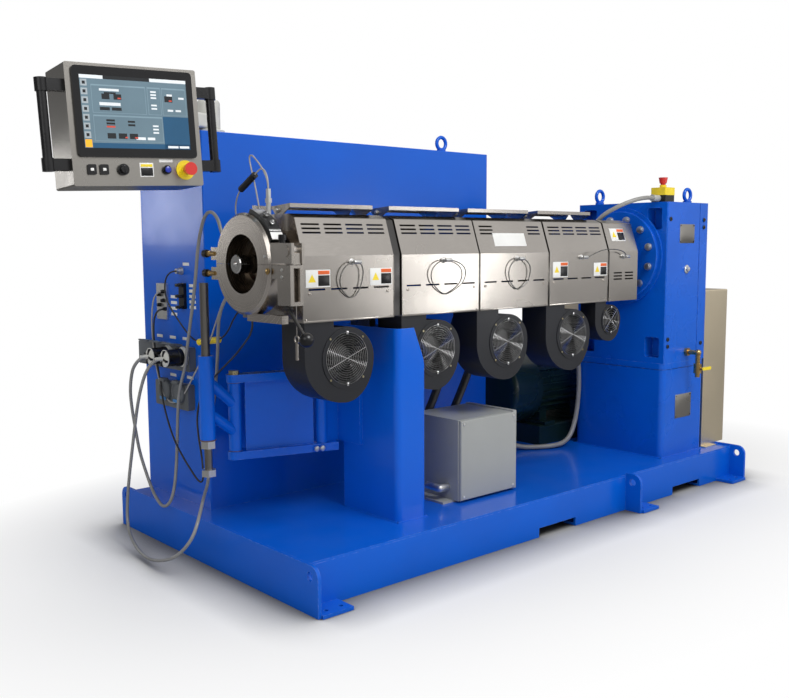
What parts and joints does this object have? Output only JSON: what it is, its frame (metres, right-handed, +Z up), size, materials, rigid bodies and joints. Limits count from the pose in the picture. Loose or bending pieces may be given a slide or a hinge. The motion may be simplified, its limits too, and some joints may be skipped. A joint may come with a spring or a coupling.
{
  "type": "plastic extruder",
  "caption": "Single-screw plastic extruder with a covered, fan-cooled barrel, gearbox, control cabinet and swing-out operator panel.",
  "frame": {"origin": "centre of the four outer foot bolts' rectangle, on the floor", "axes": "+X from the die end to the gearbox end, along the screw; -Y towards the barrel's operator side; +Z up"},
  "size_m": [3.1829, 1.355, 1.6714],
  "materials": {
    "blue_paint": "gloss",
    "light_blue_paint": "gloss",
    "stainless": "satin",
    "machined_steel": "satin",
    "tan_guard": "satin",
    "grey_paint": "satin",
    "dark_grey": "satin",
    "dark_green": "gloss",
    "black_rubber": "matt",
    "black_plastic": "matt",
    "cream_panel": "satin",
    "screen_glass": "gloss",
    "red_plastic": "gloss",
    "yellow_plastic": "gloss",
    "chrome": "polished",
    "brass": "satin",
    "grey_cable": "satin",
    "white_cable": "satin"
  },
  "bodies": {
    "machine": {"end_plates": "blue_paint", "base_beams": "blue_paint", "base_deck": "blue_paint", "foot_plates": "blue_paint", "barrel_support": "blue_paint", "barrel_clamp": "machined_steel", "gearbox_pedestal": "blue_paint", "gearbox_housing": "blue_paint", "gearbox_flange": "blue_paint", "lifting_eyes": "machined_steel", "stop_box": "yellow_plastic", "drain_valve": "brass", "belt_guard": "tan_guard", "drive_motor": "dark_green", "motor_base": "blue_paint", "transformer_box": "grey_paint", "control_cabinet": "blue_paint", "cabinet_doors": "blue_paint", "cabinet_sockets": "grey_paint", "barrel": "machined_steel", "gate_upper": "machined_steel", "gate_lower": "machined_steel", "gate_clamp": "machined_steel", "gate_heater": "black_plastic", "melt_probe": "machined_steel", "cover_1": "stainless", "cover_2": "stainless", "cover_3": "stainless", "cover_4": "stainless", "feed_cover": "stainless", "air_deflectors": "stainless", "blower_1": "dark_grey", "blower_2": "dark_grey", "blower_3": "dark_grey", "blower_4": "dark_grey", "feed_blower": "dark_grey", "blower_guards": "chrome", "panel_mast": "cream_panel", "conduits": "black_rubber", "heater_cable_a": "grey_cable", "heater_cable_b": "grey_cable", "sensor_lead_c": "white_cable", "sensor_lead_d": "black_rubber", "yellow_plug_lead": "white_cable", "probe_lead_1": "white_cable", "probe_lead_2": "white_cable", "cable_plugs": "black_plastic"},
    "screw": {"screw": "machined_steel"},
    "support_arm": {"support_arm": "blue_paint"},
    "post_carrier": {"post_carrier": "blue_paint"},
    "support_post": {"support_post": "machined_steel"},
    "gate_handle": {"gate_handle": "black_plastic"},
    "panel_arm": {"panel_arm": "cream_panel"},
    "panel_box": {"panel_box": "stainless", "panel_screen": "screen_glass", "panel_handles": "black_plastic", "panel_controls": "yellow_plastic"},
    "panel_stop_button": {"panel_stop_button": "red_plastic"},
    "gearbox_stop_button": {"gearbox_stop_button": "red_plastic"},
    "valve_lever": {"valve_lever": "yellow_plastic"}
  },
  "joints": [
    {"name": "screw_spin", "type": "hinge", "parent": "machine", "child": "screw", "pos_m": [-0.37, -0.2795, 1.067], "axis": [1, 0, 0], "continuous": true},
    {"name": "support_arm_swing", "type": "hinge", "parent": "machine", "child": "support_arm", "pos_m": [-0.853, -0.1375, 0.527], "axis": [0, 0, 1], "range_deg": [-8, 2]},
    {"name": "post_swing", "type": "hinge", "parent": "support_arm", "child": "post_carrier", "pos_m": [-1.166, -0.0475, 0.527], "axis": [0, 0, 1], "range_deg": [-25, 15]},
    {"name": "post_height", "type": "slide", "parent": "post_carrier", "child": "support_post", "axis": [0, 0, 1], "range_m": [-0.055, 0]},
    {"name": "gate_handle_turn", "type": "hinge", "parent": "machine", "child": "gate_handle", "pos_m": [-1.244, -0.5015, 0.9347], "axis": [1, 0, 0], "range_deg": [-30, 45]},
    {"name": "panel_arm_swing", "type": "hinge", "parent": "machine", "child": "panel_arm", "pos_m": [-1.088, 0.2125, 1.6], "axis": [0, 0, 1], "range_deg": [-40, 5]},
    {"name": "panel_turn", "type": "hinge", "parent": "panel_arm", "child": "panel_box", "pos_m": [-1.51, 0.0445, 1.5], "axis": [0, 0, 1], "range_deg": [-60, 30]},
    {"name": "panel_stop_press", "type": "slide", "parent": "panel_box", "child": "panel_stop_button", "axis": [0.068, 0.9969, -0.0384], "range_m": [0, 0.004], "stiffness_N_per_m": 1500, "springref_m": -0.002},
    {"name": "gearbox_stop_press", "type": "slide", "parent": "machine", "child": "gearbox_stop_button", "axis": [0, 0, -1], "range_m": [0, 0.004], "stiffness_N_per_m": 1500, "springref_m": -0.002},
    {"name": "drain_valve_turn", "type": "hinge", "parent": "machine", "child": "valve_lever", "pos_m": [0.958, -0.6155, 0.556], "axis": [0, 1, 0], "range_deg": [0, 90]}
  ]
}
